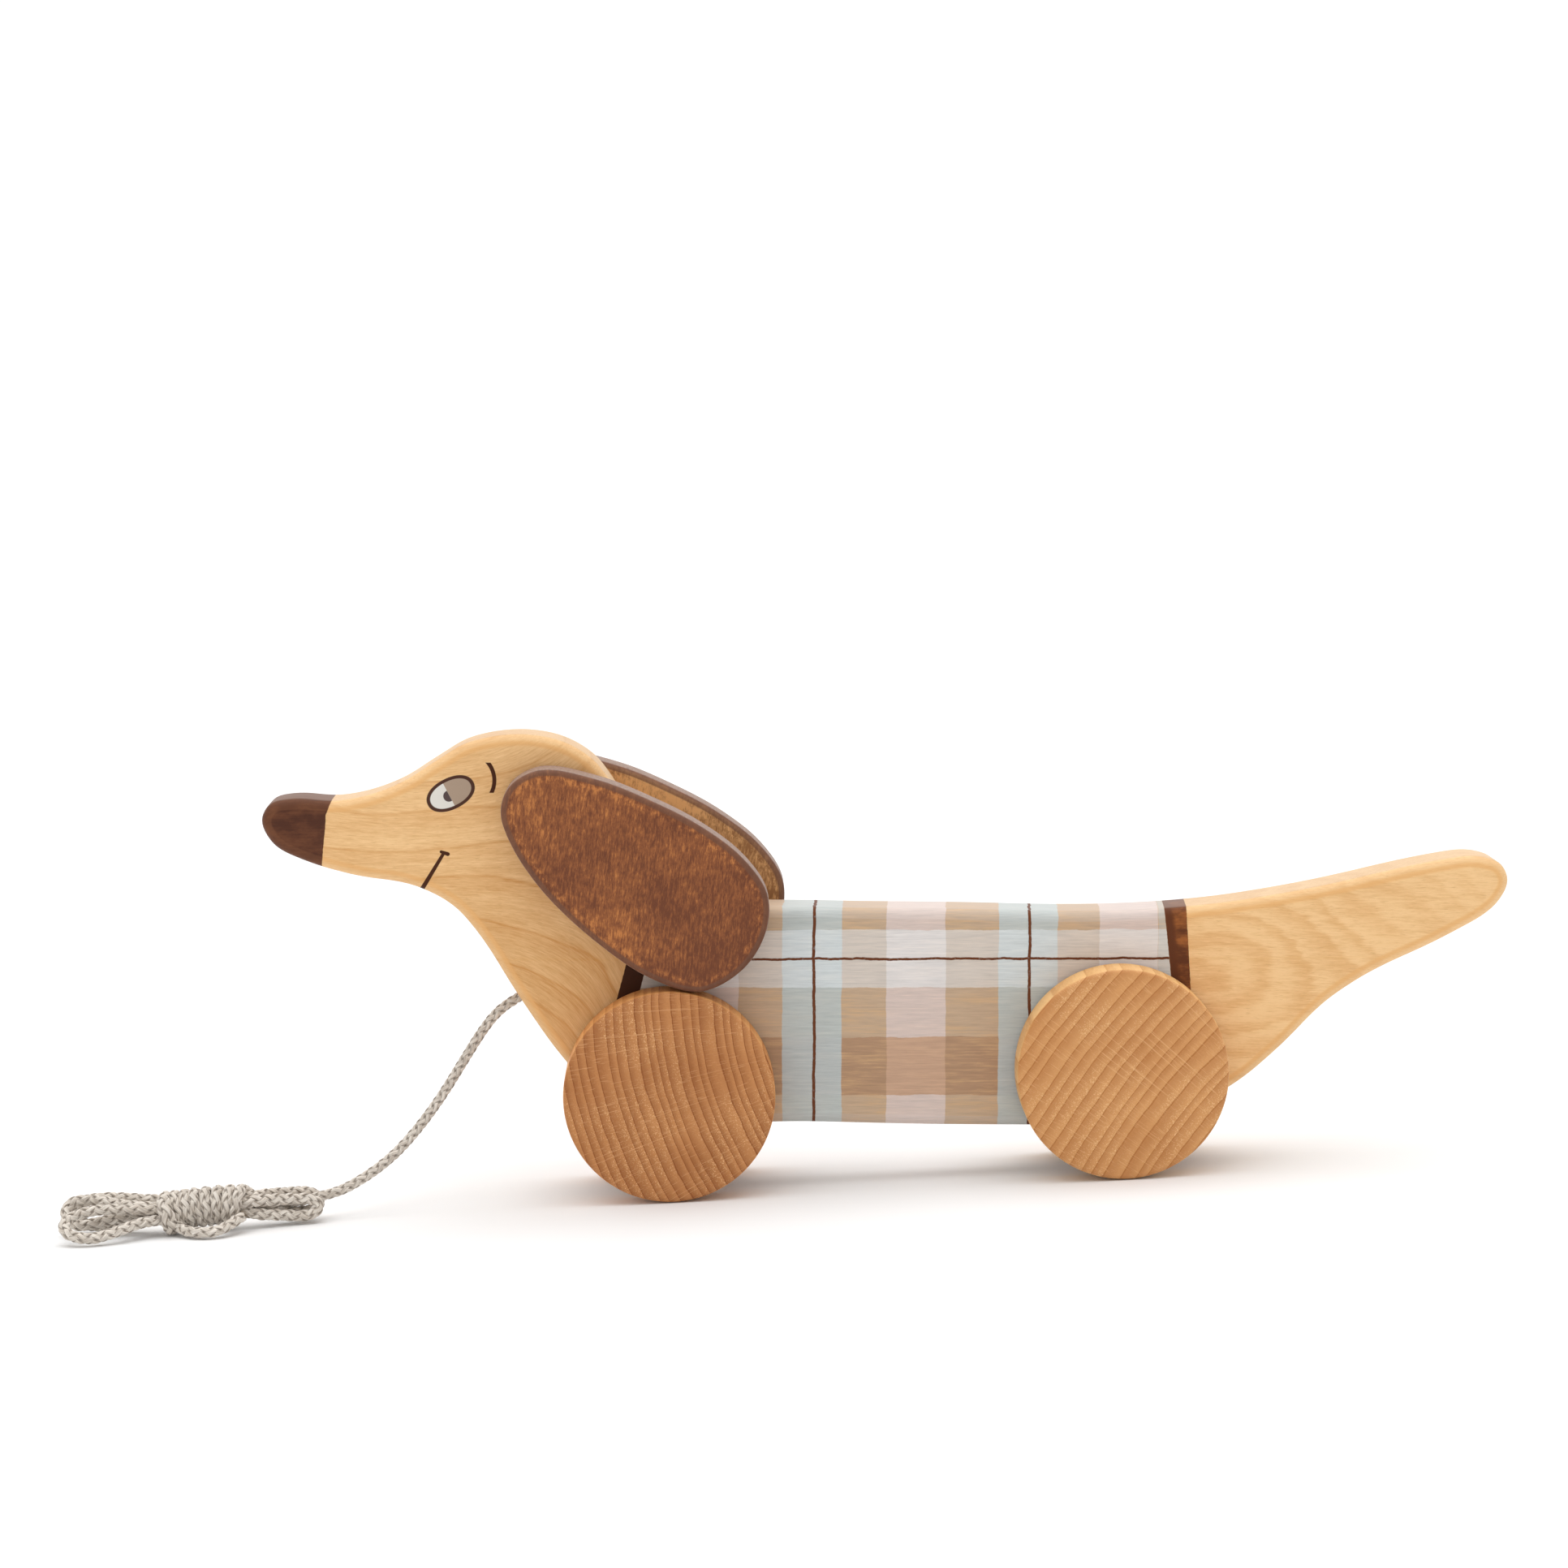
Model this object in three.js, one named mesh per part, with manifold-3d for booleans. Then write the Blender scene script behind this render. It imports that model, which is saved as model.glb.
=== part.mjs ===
// A wooden pull along dachshund on four wheels, in millimetres, +Z up.
// The nose points along -X and the dog's left side faces -Y. The wheels stand on Z = 0, and the
// origin is below the middle of the toy without its cord. The board is drawn level, with its
// front axle at the origin of the drawing, and then turned nose up until both axles are level.

import * as THREE from 'three';
import { mergeVertices } from 'three/addons/utils/BufferGeometryUtils.js';
import Module from 'manifold-3d';

const wasm = await Module();
wasm.setup();

// Driving dimensions
const WHEEL_RADIUS = 32;
const WHEEL_THICKNESS = 15;
const WHEEL_EDGE = 1.4;            // radius of the rounded rim
const WHEEL_GAP = 1;               // between a wheel and the board
const BOARD_THICKNESS = 22;
const BOARD_EDGE = 3.3;            // radius of the rounded board edge
const WHEELBASE = 137;             // along the drawing, front axle to rear axle
const REAR_AXLE_RISE = 6.6;        // rear axle above the front axle in the drawing
const DOWEL_RADIUS = 4;
const BORE_CLEARANCE = 0.3;        // radial, around every dowel
const DOWEL_DEPTH = 10;            // how far a dowel goes into a wheel or an ear
const EAR_THICKNESS = 15;
const EAR_EDGE = 2;
const EAR_GAP = 0.6;               // between an ear and the board
const EAR_PIVOT = [-37.5, 85.8];   // in the drawing
const RIGHT_EAR_SHIFT = [5.8, 0.7]; // the right ear's hole is drilled nearer to its front edge
const RIGHT_EAR_TURN = 0.016;      // and the ear hangs a little lower, radians
const CORD_RADIUS = 1.6;
const CORD_HOLE_RADIUS = 2.3;
const CORD_HOLE_DEPTH = 16;
const CORD_EXIT = [-45.9, 27.2];   // on the chest edge, in the drawing
const CORD_HOLE_SLOPE = 0.589;     // the hole rises into the chest at this angle, radians
const HANK_HEIGHT = 14.3;
const HANK_ENDS = [                // centre and radius of the hank's two round ends, from above
  { x: -113.5, y: -27.5, radius: 8.5 },
  { x: -170.0, y: -36.5, radius: 13.5 },
];

const PITCH = Math.atan2(REAR_AXLE_RISE, WHEELBASE);
const AXLE_SPAN = Math.hypot(WHEELBASE, REAR_AXLE_RISE);
const BORE_RADIUS = DOWEL_RADIUS + BORE_CLEARANCE;
const HALF_BOARD = BOARD_THICKNESS / 2;

// The dog's outline from the nose tip over the head and back to the tail, and back underneath
const BODY_OUTLINE = [
  [-123.2, 82.0], [-120.6, 87.2], [-113.5, 88.9], [-101.0, 88.3], [-91.0, 90.0], [-80.6, 94.0],
  [-70.7, 100.2], [-60.7, 105.9], [-46.0, 108.4], [-33.0, 106.5], [-23.5, 101.2], [-17.5, 94.0],
  [-8.0, 78.0], [4.0, 63.5], [20.0, 56.8], [45.0, 55.5], [85.0, 54.9], [130.0, 54.2],
  [163.8, 56.2], [195.0, 61.1], [233.0, 69.4], [246.0, 70.8], [253.2, 68.3], [255.5, 63.0],
  [251.4, 55.3], [236.6, 46.1], [213.5, 34.9], [200.0, 25.8], [186.0, 11.9], [172.5, 0.7],
  [155.0, -8.2], [130.0, -11.3], [85.0, -11.6], [40.0, -10.6], [5.0, -10.6], [-18.0, -5.0],
  [-31.7, 8.4], [-45.6, 28.1], [-57.5, 47.0], [-66.0, 56.4], [-78.0, 62.4], [-95.0, 65.4],
  [-110.0, 69.8], [-119.5, 74.8],
];

// An ear's egg shape around its pivot, hanging back and down
const EAR_OUTLINE = [
  [-12.8, 0.7], [-10.0, 8.5], [-1.0, 13.3], [15.5, 10.6], [32.6, 3.9], [47.5, -3.9],
  [60.0, -13.6], [67.1, -24.3], [66.7, -35.6], [60.0, -46.9], [47.0, -53.9], [32.0, -49.8],
  [14.0, -37.4], [-1.0, -22.6], [-10.0, -8.8],
];

// The free cord from inside the chest down to the hank, from the floor below the front axle
const CORD_ROUTE = [
  [-37.7, 0, 65.1], [-41.1, 0, 63.1], [-44.6, 0, 61.0], [-49.8, -0.3, 57.9],
  [-54.9, -1.2, 53.0], [-60.2, -3.0, 45.9], [-65.5, -5.2, 38.3], [-70.7, -7.6, 31.2],
  [-75.8, -10.0, 25.1], [-80.9, -12.5, 19.8], [-85.9, -15.0, 15.6], [-90.8, -17.4, 12.4],
  [-95.8, -19.7, 9.8], [-100.7, -21.7, 7.9], [-105.7, -23.3, 6.9],
];

const WOOD = { roughness: 0.55, metalness: 0 };
const birch = new THREE.MeshStandardMaterial({ color: 0xe2bc8a, ...WOOD });
const stained = new THREE.MeshStandardMaterial({ color: 0x75492d, ...WOOD });
const beech = new THREE.MeshStandardMaterial({ color: 0xcd8f58, ...WOOD });
const dowelWood = new THREE.MeshStandardMaterial({ color: 0xd8b083, ...WOOD });
const linen = new THREE.MeshStandardMaterial({ color: 0xc8beae, roughness: 0.95, metalness: 0 });

// Booleans

function toSolid(geometry) {
  const bare = geometry.clone();
  bare.deleteAttribute('normal');
  bare.deleteAttribute('uv');
  const merged = mergeVertices(bare, 1e-4);
  return new wasm.Manifold(new wasm.Mesh({
    numProp: 3,
    vertProperties: new Float32Array(merged.attributes.position.array),
    triVerts: new Uint32Array(merged.index.array),
  }));
}

function toGeometry(solid) {
  const mesh = solid.getMesh();
  const geometry = new THREE.BufferGeometry();
  geometry.setAttribute('position', new THREE.BufferAttribute(mesh.vertProperties, 3));
  geometry.setIndex(new THREE.BufferAttribute(mesh.triVerts, 1));
  geometry.computeVertexNormals();
  return geometry;
}

function cut(geometry, ...tools) {
  const solid = tools.reduce((rest, tool) => rest.subtract(toSolid(tool)), toSolid(geometry));
  return toGeometry(solid);
}

// Shapes

function smoothShape(points, stepsBetween) {
  const corners = points.map(([x, y]) => new THREE.Vector3(x, y, 0));
  const curve = new THREE.CatmullRomCurve3(corners, true, 'centripetal');
  const count = points.length * stepsBetween;
  return new THREE.Shape(curve.getPoints(count).slice(0, count)
    .map((point) => new THREE.Vector2(point.x, point.y)));
}

// A board with rounded edges, its outline in X and Z, its faces at Y = +-thickness / 2
function board(outline, stepsBetween, thickness, edge) {
  const geometry = new THREE.ExtrudeGeometry(smoothShape(outline, stepsBetween), {
    depth: thickness - 2 * edge,
    bevelEnabled: true,
    bevelThickness: edge,
    bevelSize: edge,
    bevelOffset: -edge,
    bevelSegments: 2,
    curveSegments: 1,
  });
  geometry.translate(0, 0, edge - thickness / 2);
  geometry.rotateX(Math.PI / 2);
  return geometry;
}

// A dowel along Y centred on its own origin
function dowel(radius, length) {
  return new THREE.CylinderGeometry(radius, radius, length, 24);
}

// A blind hole from a board's inner face: the inner face is at Y = 0 and the hole goes to -Y
function blindHole() {
  const hole = dowel(BORE_RADIUS, DOWEL_DEPTH + 2);
  hole.translate(0, 1 - DOWEL_DEPTH / 2, 0);
  return hole;
}

function placed(geometry, material, name, x, y, z) {
  const mesh = new THREE.Mesh(geometry, material);
  mesh.name = name;
  mesh.position.set(x, y, z);
  return mesh;
}

const toy = new THREE.Group();

// Everything drawn with the board: the drawing's origin is the front axle
const chassis = new THREE.Group();
chassis.position.z = WHEEL_RADIUS;
chassis.rotation.y = PITCH;
toy.add(chassis);

// Body

function cordHole() {
  const hole = new THREE.CylinderGeometry(CORD_HOLE_RADIUS, CORD_HOLE_RADIUS,
    2 * CORD_HOLE_DEPTH, 16);
  hole.rotateZ(Math.PI / 2);
  hole.rotateY(-CORD_HOLE_SLOPE);
  hole.translate(CORD_EXIT[0], 0, CORD_EXIT[1]);
  return hole;
}

function bore(x, z) {
  const hole = dowel(BORE_RADIUS, BOARD_THICKNESS + 4);
  hole.translate(x, 0, z);
  return hole;
}

const bodyGeometry = cut(
  board(BODY_OUTLINE, 3, BOARD_THICKNESS, BOARD_EDGE),
  bore(0, 0),
  bore(WHEELBASE, REAR_AXLE_RISE),
  bore(...EAR_PIVOT),
  cordHole(),
);
chassis.add(placed(bodyGeometry, birch, 'body', 0, 0, 0));

// Wheels and their axles

function wheel() {
  const profile = new THREE.Path();
  const outer = -WHEEL_THICKNESS;
  const flat = WHEEL_RADIUS - WHEEL_EDGE;
  profile.moveTo(0, outer);
  profile.lineTo(flat, outer);
  profile.absarc(flat, outer + WHEEL_EDGE, WHEEL_EDGE, -Math.PI / 2, 0, false);
  profile.absarc(flat, -WHEEL_EDGE, WHEEL_EDGE, 0, Math.PI / 2, false);
  profile.lineTo(0, 0);
  const geometry = new THREE.LatheGeometry(profile.getPoints(2), 48);
  return cut(geometry, blindHole());
}

function wheelPair(end, x) {
  const axle = dowel(DOWEL_RADIUS, BOARD_THICKNESS + 2 * (WHEEL_GAP + DOWEL_DEPTH)
    - 2 * BORE_CLEARANCE);
  toy.add(placed(axle, dowelWood, `${end}_axle`, x, 0, WHEEL_RADIUS));
  for (const [side, turn] of [['left', 0], ['right', Math.PI]]) {
    const inner = (turn === 0 ? -1 : 1) * (HALF_BOARD + WHEEL_GAP);
    const mesh = placed(wheel(), beech, `wheel_${end}_${side}`, x, inner, WHEEL_RADIUS);
    mesh.rotation.z = turn;
    toy.add(mesh);
  }
}

wheelPair('front', 0);
wheelPair('rear', AXLE_SPAN);

// Ears on their shared dowel

function ear(side, [shiftX, shiftZ], turn) {
  const left = side === 'left';
  const outline = EAR_OUTLINE.map(([x, z]) => [x + shiftX, z + shiftZ]);
  const geometry = board(outline, 4, EAR_THICKNESS, EAR_EDGE);
  const hole = blindHole();
  if (!left) {
    hole.rotateZ(Math.PI);
  }
  const outward = (left ? -1 : 1) * (EAR_THICKNESS / 2);
  hole.translate(0, -outward, 0);
  const y = (left ? -1 : 1) * (HALF_BOARD + EAR_GAP) + outward;
  const mesh = placed(cut(geometry, hole), stained, `ear_${side}`, EAR_PIVOT[0], y, EAR_PIVOT[1]);
  mesh.rotation.y = turn;
  return mesh;
}

const earDowel = dowel(DOWEL_RADIUS, BOARD_THICKNESS + 2 * (EAR_GAP + DOWEL_DEPTH)
  - 2 * BORE_CLEARANCE);
chassis.add(placed(earDowel, dowelWood, 'ear_dowel', EAR_PIVOT[0], 0, EAR_PIVOT[1]));
chassis.add(ear('left', [0, 0], 0));
chassis.add(ear('right', RIGHT_EAR_SHIFT, RIGHT_EAR_TURN));

// The middle of the toy, before the cord is laid down in front of it
const bounds = new THREE.Box3().setFromObject(toy, true);
const middleX = (bounds.min.x + bounds.max.x) / 2;

// Cord

function cordRun() {
  const path = new THREE.CatmullRomCurve3(CORD_ROUTE.map((point) => new THREE.Vector3(...point)));
  const section = new THREE.Shape();
  section.absarc(0, 0, CORD_RADIUS, 0, 2 * Math.PI, false);
  return new THREE.ExtrudeGeometry(section, { steps: 20, curveSegments: 8, extrudePath: path });
}

// Two round ends joined by their outer tangents
function hank() {
  const [front, back] = HANK_ENDS;
  const apart = Math.hypot(back.x - front.x, back.y - front.y);
  const heading = Math.atan2(back.y - front.y, back.x - front.x);
  const tangent = Math.acos((front.radius - back.radius) / apart);
  const outline = new THREE.Shape();
  outline.absarc(back.x, back.y, back.radius, heading - tangent, heading + tangent, false);
  outline.absarc(front.x, front.y, front.radius, heading + tangent,
    heading - tangent + 2 * Math.PI, false);
  return new THREE.ExtrudeGeometry(outline, {
    depth: HANK_HEIGHT,
    bevelEnabled: false,
    curveSegments: 16,
  });
}

toy.add(placed(cordRun(), linen, 'cord_run', 0, 0, 0));
toy.add(placed(hank(), linen, 'cord_hank', 0, 0, 0));
toy.position.x = -middleX;

export default toy;
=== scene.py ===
import math
import random

import bmesh
import bpy
import numpy as np
from mathutils import Matrix, Vector


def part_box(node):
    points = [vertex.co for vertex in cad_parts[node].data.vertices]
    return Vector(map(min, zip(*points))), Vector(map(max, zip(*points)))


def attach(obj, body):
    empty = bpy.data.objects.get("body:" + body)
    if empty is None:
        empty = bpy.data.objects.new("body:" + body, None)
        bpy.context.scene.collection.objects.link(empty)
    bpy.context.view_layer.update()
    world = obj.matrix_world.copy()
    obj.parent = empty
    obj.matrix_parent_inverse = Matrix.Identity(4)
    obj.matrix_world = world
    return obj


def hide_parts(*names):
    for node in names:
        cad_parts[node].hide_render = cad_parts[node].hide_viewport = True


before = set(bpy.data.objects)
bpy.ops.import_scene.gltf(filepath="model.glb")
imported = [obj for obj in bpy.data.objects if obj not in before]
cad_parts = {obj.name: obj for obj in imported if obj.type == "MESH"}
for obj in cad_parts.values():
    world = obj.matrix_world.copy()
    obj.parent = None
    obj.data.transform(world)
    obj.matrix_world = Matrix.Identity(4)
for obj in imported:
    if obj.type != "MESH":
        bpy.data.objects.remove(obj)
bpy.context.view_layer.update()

MM = 0.001


def middle(node):
    low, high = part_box(node)
    return [(a + b) / 2 for a, b in zip(low, high)]


def hole_radius(dowel):
    low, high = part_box(dowel)
    return (high[2] - low[2]) / 2 + BORE_PLAY * MM


# Sizes in mm, where the frame doesn't give them
WHEELBASE = 137.0                   # along the board
REAR_AXLE_RISE = 6.6                # from the front axle, across the board
BOARD_EDGE = 3.3                    # radius of the board's rounded edges
EAR_EDGE = 2.0
WHEEL_EDGE = 1.4
BORE_PLAY = 0.3                     # radial, round every dowel

DOWELS = ("front_axle", "rear_axle", "ear_dowel")
FRONT_AXLE = middle("front_axle")
EAR_PIVOT = middle("ear_dowel")
PITCH = math.atan2(REAR_AXLE_RISE, WHEELBASE)   # the board stands this much nose up
BOARD_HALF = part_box("body")[1][1] / MM


# ---------------------------------------------------------------- camera

CAMERA_FROM_AXLE = (17.6, -1390.8, 266.1)   # mm from the floor point below the front axle
CAMERA_DOWN = math.radians(5.9)
CAMERA_YAW = math.radians(0.9)
CAMERA_ROLL = math.radians(2.7312)


def place_camera():
    data = bpy.data.cameras.new("camera")
    data.sensor_width = 36.0
    data.lens = 105.28
    data.clip_start = 0.01
    data.clip_end = 60.0
    camera = bpy.data.objects.new("camera", data)
    bpy.context.scene.collection.objects.link(camera)
    sin, cos = math.sin, math.cos
    ahead = Vector((sin(CAMERA_YAW) * cos(CAMERA_DOWN),
                    cos(CAMERA_YAW) * cos(CAMERA_DOWN), -sin(CAMERA_DOWN)))
    level = Vector((cos(CAMERA_YAW), -sin(CAMERA_YAW), 0.0))
    plumb = level.cross(ahead)
    right = level * cos(CAMERA_ROLL) - plumb * sin(CAMERA_ROLL)
    up = level * sin(CAMERA_ROLL) + plumb * cos(CAMERA_ROLL)
    x, y, z = (a * MM for a in CAMERA_FROM_AXLE)
    place = Vector((FRONT_AXLE[0] + x, y, z))
    camera.matrix_world = Matrix((
        (right.x, up.x, -ahead.x, place.x),
        (right.y, up.y, -ahead.y, place.y),
        (right.z, up.z, -ahead.z, place.z),
        (0.0, 0.0, 0.0, 1.0)))
    bpy.context.scene.camera = camera


# ---------------------------------------------------------------- lines and meshes

ROUNDING = [math.radians(a) for a in range(0, 91, 10)]
SHARP = math.radians(35)            # edges bent more than this are shaded as sharp
LIP = 0.4                           # mm of flat past a rounded edge, before the face's fill
BORE_SIDES = 32
CORD_HOLE_SIDES = 40
WHEEL_SIDES = 128
OVERLAP = 6                         # points that a closed line runs on past its ends


def smooth_line(points, step, closed=False):
    """Points every step along the smooth curve through points."""
    p = np.array(points, float)
    if closed:
        p = np.vstack([p[-OVERLAP:], p, p[:OVERLAP + 1]])
    h = np.sqrt(np.linalg.norm(np.diff(p, axis=0), axis=1))
    t = np.concatenate([[0.0], np.cumsum(h)])
    n = len(t)
    a = np.eye(n)
    rhs = np.zeros_like(p)
    for i in range(1, n - 1):
        a[i, i - 1:i + 2] = h[i - 1], 2 * (h[i - 1] + h[i]), h[i]
        rhs[i] = 6 * ((p[i + 1] - p[i]) / h[i] - (p[i] - p[i - 1]) / h[i - 1])
    m = np.linalg.solve(a, rhs)
    start, end = (t[OVERLAP], t[-OVERLAP - 1]) if closed else (t[0], t[-1])
    at = np.linspace(start, end, 30 * n)
    k = np.clip(np.searchsorted(t, at, side="right") - 1, 0, n - 2)
    u = ((t[k + 1] - at) / h[k])[:, None]
    v = 1 - u
    bow = ((u ** 3 - u) * m[k] + (v ** 3 - v) * m[k + 1]) * (h[k] ** 2)[:, None] / 6
    q = u * p[k] + v * p[k + 1] + bow
    s = np.concatenate([[0.0], np.cumsum(np.linalg.norm(np.diff(q, axis=0), axis=1))])
    even = np.linspace(0.0, s[-1], max(2, round(s[-1] / step)) + 1)
    out = np.stack([np.interp(even, s, q[:, j]) for j in range(p.shape[1])], axis=1)
    return out[:-1] if closed else out


def cad_ring(node, y):
    """The outline of a sawn board, in order, where its side wall meets the rounded edge at y."""
    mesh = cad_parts[node].data
    links = {}
    near = 0.03 * MM
    for edge in mesh.edges:
        a, b = (mesh.vertices[i].co for i in edge.vertices)
        if abs(a.y - y) < near and abs(b.y - y) < near:
            a, b = ((round(v.x, 6), round(v.z, 6)) for v in (a, b))
            if a != b:
                links.setdefault(a, set()).add(b)
                links.setdefault(b, set()).add(a)
    first = min(links)
    line, last = [first], None
    while True:
        here = line[-1]
        ahead = [b for b in sorted(links[here]) if b != last and b not in line[1:]]
        if not ahead or ahead[0] == first and len(line) > 2:
            return line
        last = here
        line.append(ahead[0])


def make_object(name, bm):
    bmesh.ops.recalc_face_normals(bm, faces=bm.faces)
    for face in bm.faces:
        face.smooth = True
    mesh = bpy.data.meshes.new(name)
    bm.to_mesh(mesh)
    bm.free()
    mesh.set_sharp_from_angle(angle=SHARP)
    obj = bpy.data.objects.new(name, mesh)
    bpy.context.scene.collection.objects.link(obj)
    return obj


def bridge(bm, one, two):
    for i in range(len(one)):
        j = (i + 1) % len(one)
        bm.faces.new((one[i], one[j], two[j], two[i]))


def loop_edges(loop):
    out = []
    for i, v in enumerate(loop):
        w = loop[(i + 1) % len(loop)]
        out.append(next(e for e in v.link_edges if e.other_vert(v) is w))
    return out


def sawn_board(name, node, edge, bores, lips=(LIP,), step=1.0):
    """A board with its edges rounded over. bores are (x, z, radius, from y, to y), in metres. lips
    are the distances past the rounded edge, in mm, at which the flat has rings of its own."""
    low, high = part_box(node)
    line = smooth_line(cad_ring(node, low[1] + edge * MM), step * MM, closed=True)
    along = np.roll(line, -1, 0) - np.roll(line, 1, 0)
    along /= np.linalg.norm(along, axis=1)[:, None]
    out = np.stack([along[:, 1], -along[:, 0]], axis=1)
    if np.sum(line[:, 0] * np.roll(line[:, 1], -1) - line[:, 1] * np.roll(line[:, 0], -1)) < 0:
        out = -out
    bm = bmesh.new()
    inset = bm.verts.layers.float.new("inset")

    def ring(depth, y):
        verts = []
        for p, n in zip(line, out):
            x, z = p - n * depth * MM
            v = bm.verts.new((x, y, z))
            v[inset] = depth
            verts.append(v)
        return verts

    near = [(edge + lip, low[1]) for lip in reversed(lips)]
    near += [(edge * (1 - math.sin(a)), low[1] + edge * (1 - math.cos(a)) * MM)
             for a in ROUNDING]
    far = [(depth, low[1] + high[1] - y) for depth, y in reversed(near)]
    rings = [ring(depth, y) for depth, y in near + far]
    for one, two in zip(rings, rings[1:]):
        bridge(bm, one, two)
    faces = {low[1]: [rings[0]], high[1]: [rings[-1]]}
    deepest = edge + lips[-1]
    for x, z, radius, start, end in bores:
        circles = []
        for y in (start, end):
            circle = []
            for i in range(BORE_SIDES):
                a = math.tau * i / BORE_SIDES
                v = bm.verts.new((x + radius * math.cos(a), y, z + radius * math.sin(a)))
                v[inset] = deepest
                circle.append(v)
            circles.append(circle)
            if y in faces:
                faces[y].append(circle)
        bridge(bm, *circles)
        if end not in faces:
            bm.faces.new(circles[1])
    for loops in faces.values():
        edges = [e for loop in loops for e in loop_edges(loop)]
        bmesh.ops.triangle_fill(bm, use_beauty=True, edges=edges)
    return make_object(name, bm)


def turned_wheel(name, node, axle):
    """A wheel with rounded rims and a blind hole for its axle on the inner side."""
    low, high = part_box(node)
    radius = (high[2] - low[2]) / 2 / MM
    side = 1 if high[1] > 0 else -1
    inner, outer = sorted((abs(low[1]) / MM, abs(high[1]) / MM))
    bore = hole_radius(axle) / MM
    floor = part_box(axle)[1][1] / MM + BORE_PLAY
    edge = WHEEL_EDGE
    flat = radius - edge - LIP
    profile = [(bore, floor), (bore, inner), (flat, inner)]
    profile += [(radius - edge * (1 - math.sin(a)), inner + edge * (1 - math.cos(a)))
                for a in ROUNDING]
    profile += [(radius - edge * (1 - math.cos(a)), outer - edge * (1 - math.sin(a)))
                for a in ROUNDING]
    profile += [(flat, outer), (radius / 2, outer)]
    x, _, z = middle(node)
    bm = bmesh.new()
    rings = []
    for r, y in profile:
        ring = []
        for i in range(WHEEL_SIDES):
            a = math.tau * i / WHEEL_SIDES
            ring.append(bm.verts.new((x + r * MM * math.cos(a), side * y * MM,
                                      z + r * MM * math.sin(a))))
        rings.append(ring)
    for one, two in zip(rings, rings[1:]):
        bridge(bm, one, two)
    for ring, y in ((rings[0], floor), (rings[-1], outer)):
        hub = bm.verts.new((x, side * y * MM, z))
        for i, v in enumerate(ring):
            bm.faces.new((v, ring[(i + 1) % len(ring)], hub))
    return make_object(name, bm)


def drill(obj, start, end, radius):
    """Cuts a straight round hole."""
    a, b = Vector(start), Vector(end)
    bm = bmesh.new()
    bmesh.ops.create_cone(bm, cap_ends=True, segments=CORD_HOLE_SIDES, radius1=radius,
                          radius2=radius, depth=(b - a).length)
    bm.transform(Matrix.Translation((a + b) / 2)
                 @ (b - a).to_track_quat("Z", "Y").to_matrix().to_4x4())
    cutter = make_object("cutter", bm)
    cut = obj.modifiers.new("cut", "BOOLEAN")
    cut.operation = "DIFFERENCE"
    cut.solver = "EXACT"
    cut.object = cutter
    done = bpy.data.meshes.new_from_object(
        obj.evaluated_get(bpy.context.evaluated_depsgraph_get()))
    obj.modifiers.clear()
    obj.data = done
    obj.data.set_sharp_from_angle(angle=SHARP)
    bpy.data.objects.remove(cutter)


# ---------------------------------------------------------------- the cord

# Places are in mm from the floor below the front axle.
CORD_EXIT = (-46.1, 0.0, 60.1)
CORD_HOLE = [(-36.8, 0.0, 65.65), (-60.0, 0.0, 51.9)]
CORD_HOLE_RADIUS = 2.3
# The stretch from inside the chest hole to the hank.
FREE_RUN = [
    (-37.7, 0.0, 65.1), (-41.1, 0.0, 63.1), (-44.6, 0.0, 61.0), (-49.8, -0.3, 57.9),
    (-54.9, -1.2, 53.0), (-60.2, -3.0, 45.9), (-65.5, -5.2, 38.3), (-70.7, -7.6, 31.2),
    (-75.8, -10.0, 25.1), (-80.9, -12.5, 19.8), (-85.9, -15.0, 15.6), (-90.8, -17.4, 12.4),
    (-95.8, -19.7, 9.8), (-100.7, -21.7, 7.9), (-105.7, -23.3, 6.9)]
# Along the back of the hank to the place where the winding starts.
TO_WINDING = [
    (-110.5, -24.7, 6.2), (-116.0, -25.7, 5.8), (-121.5, -26.2, 6.0), (-125.4, -26.0, 7.4),
    (-128.0, -26.8, 9.8)]
WINDING_TURNS = 7.5
WINDING_PITCH = 2.85
TURN_POINTS = 16
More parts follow.
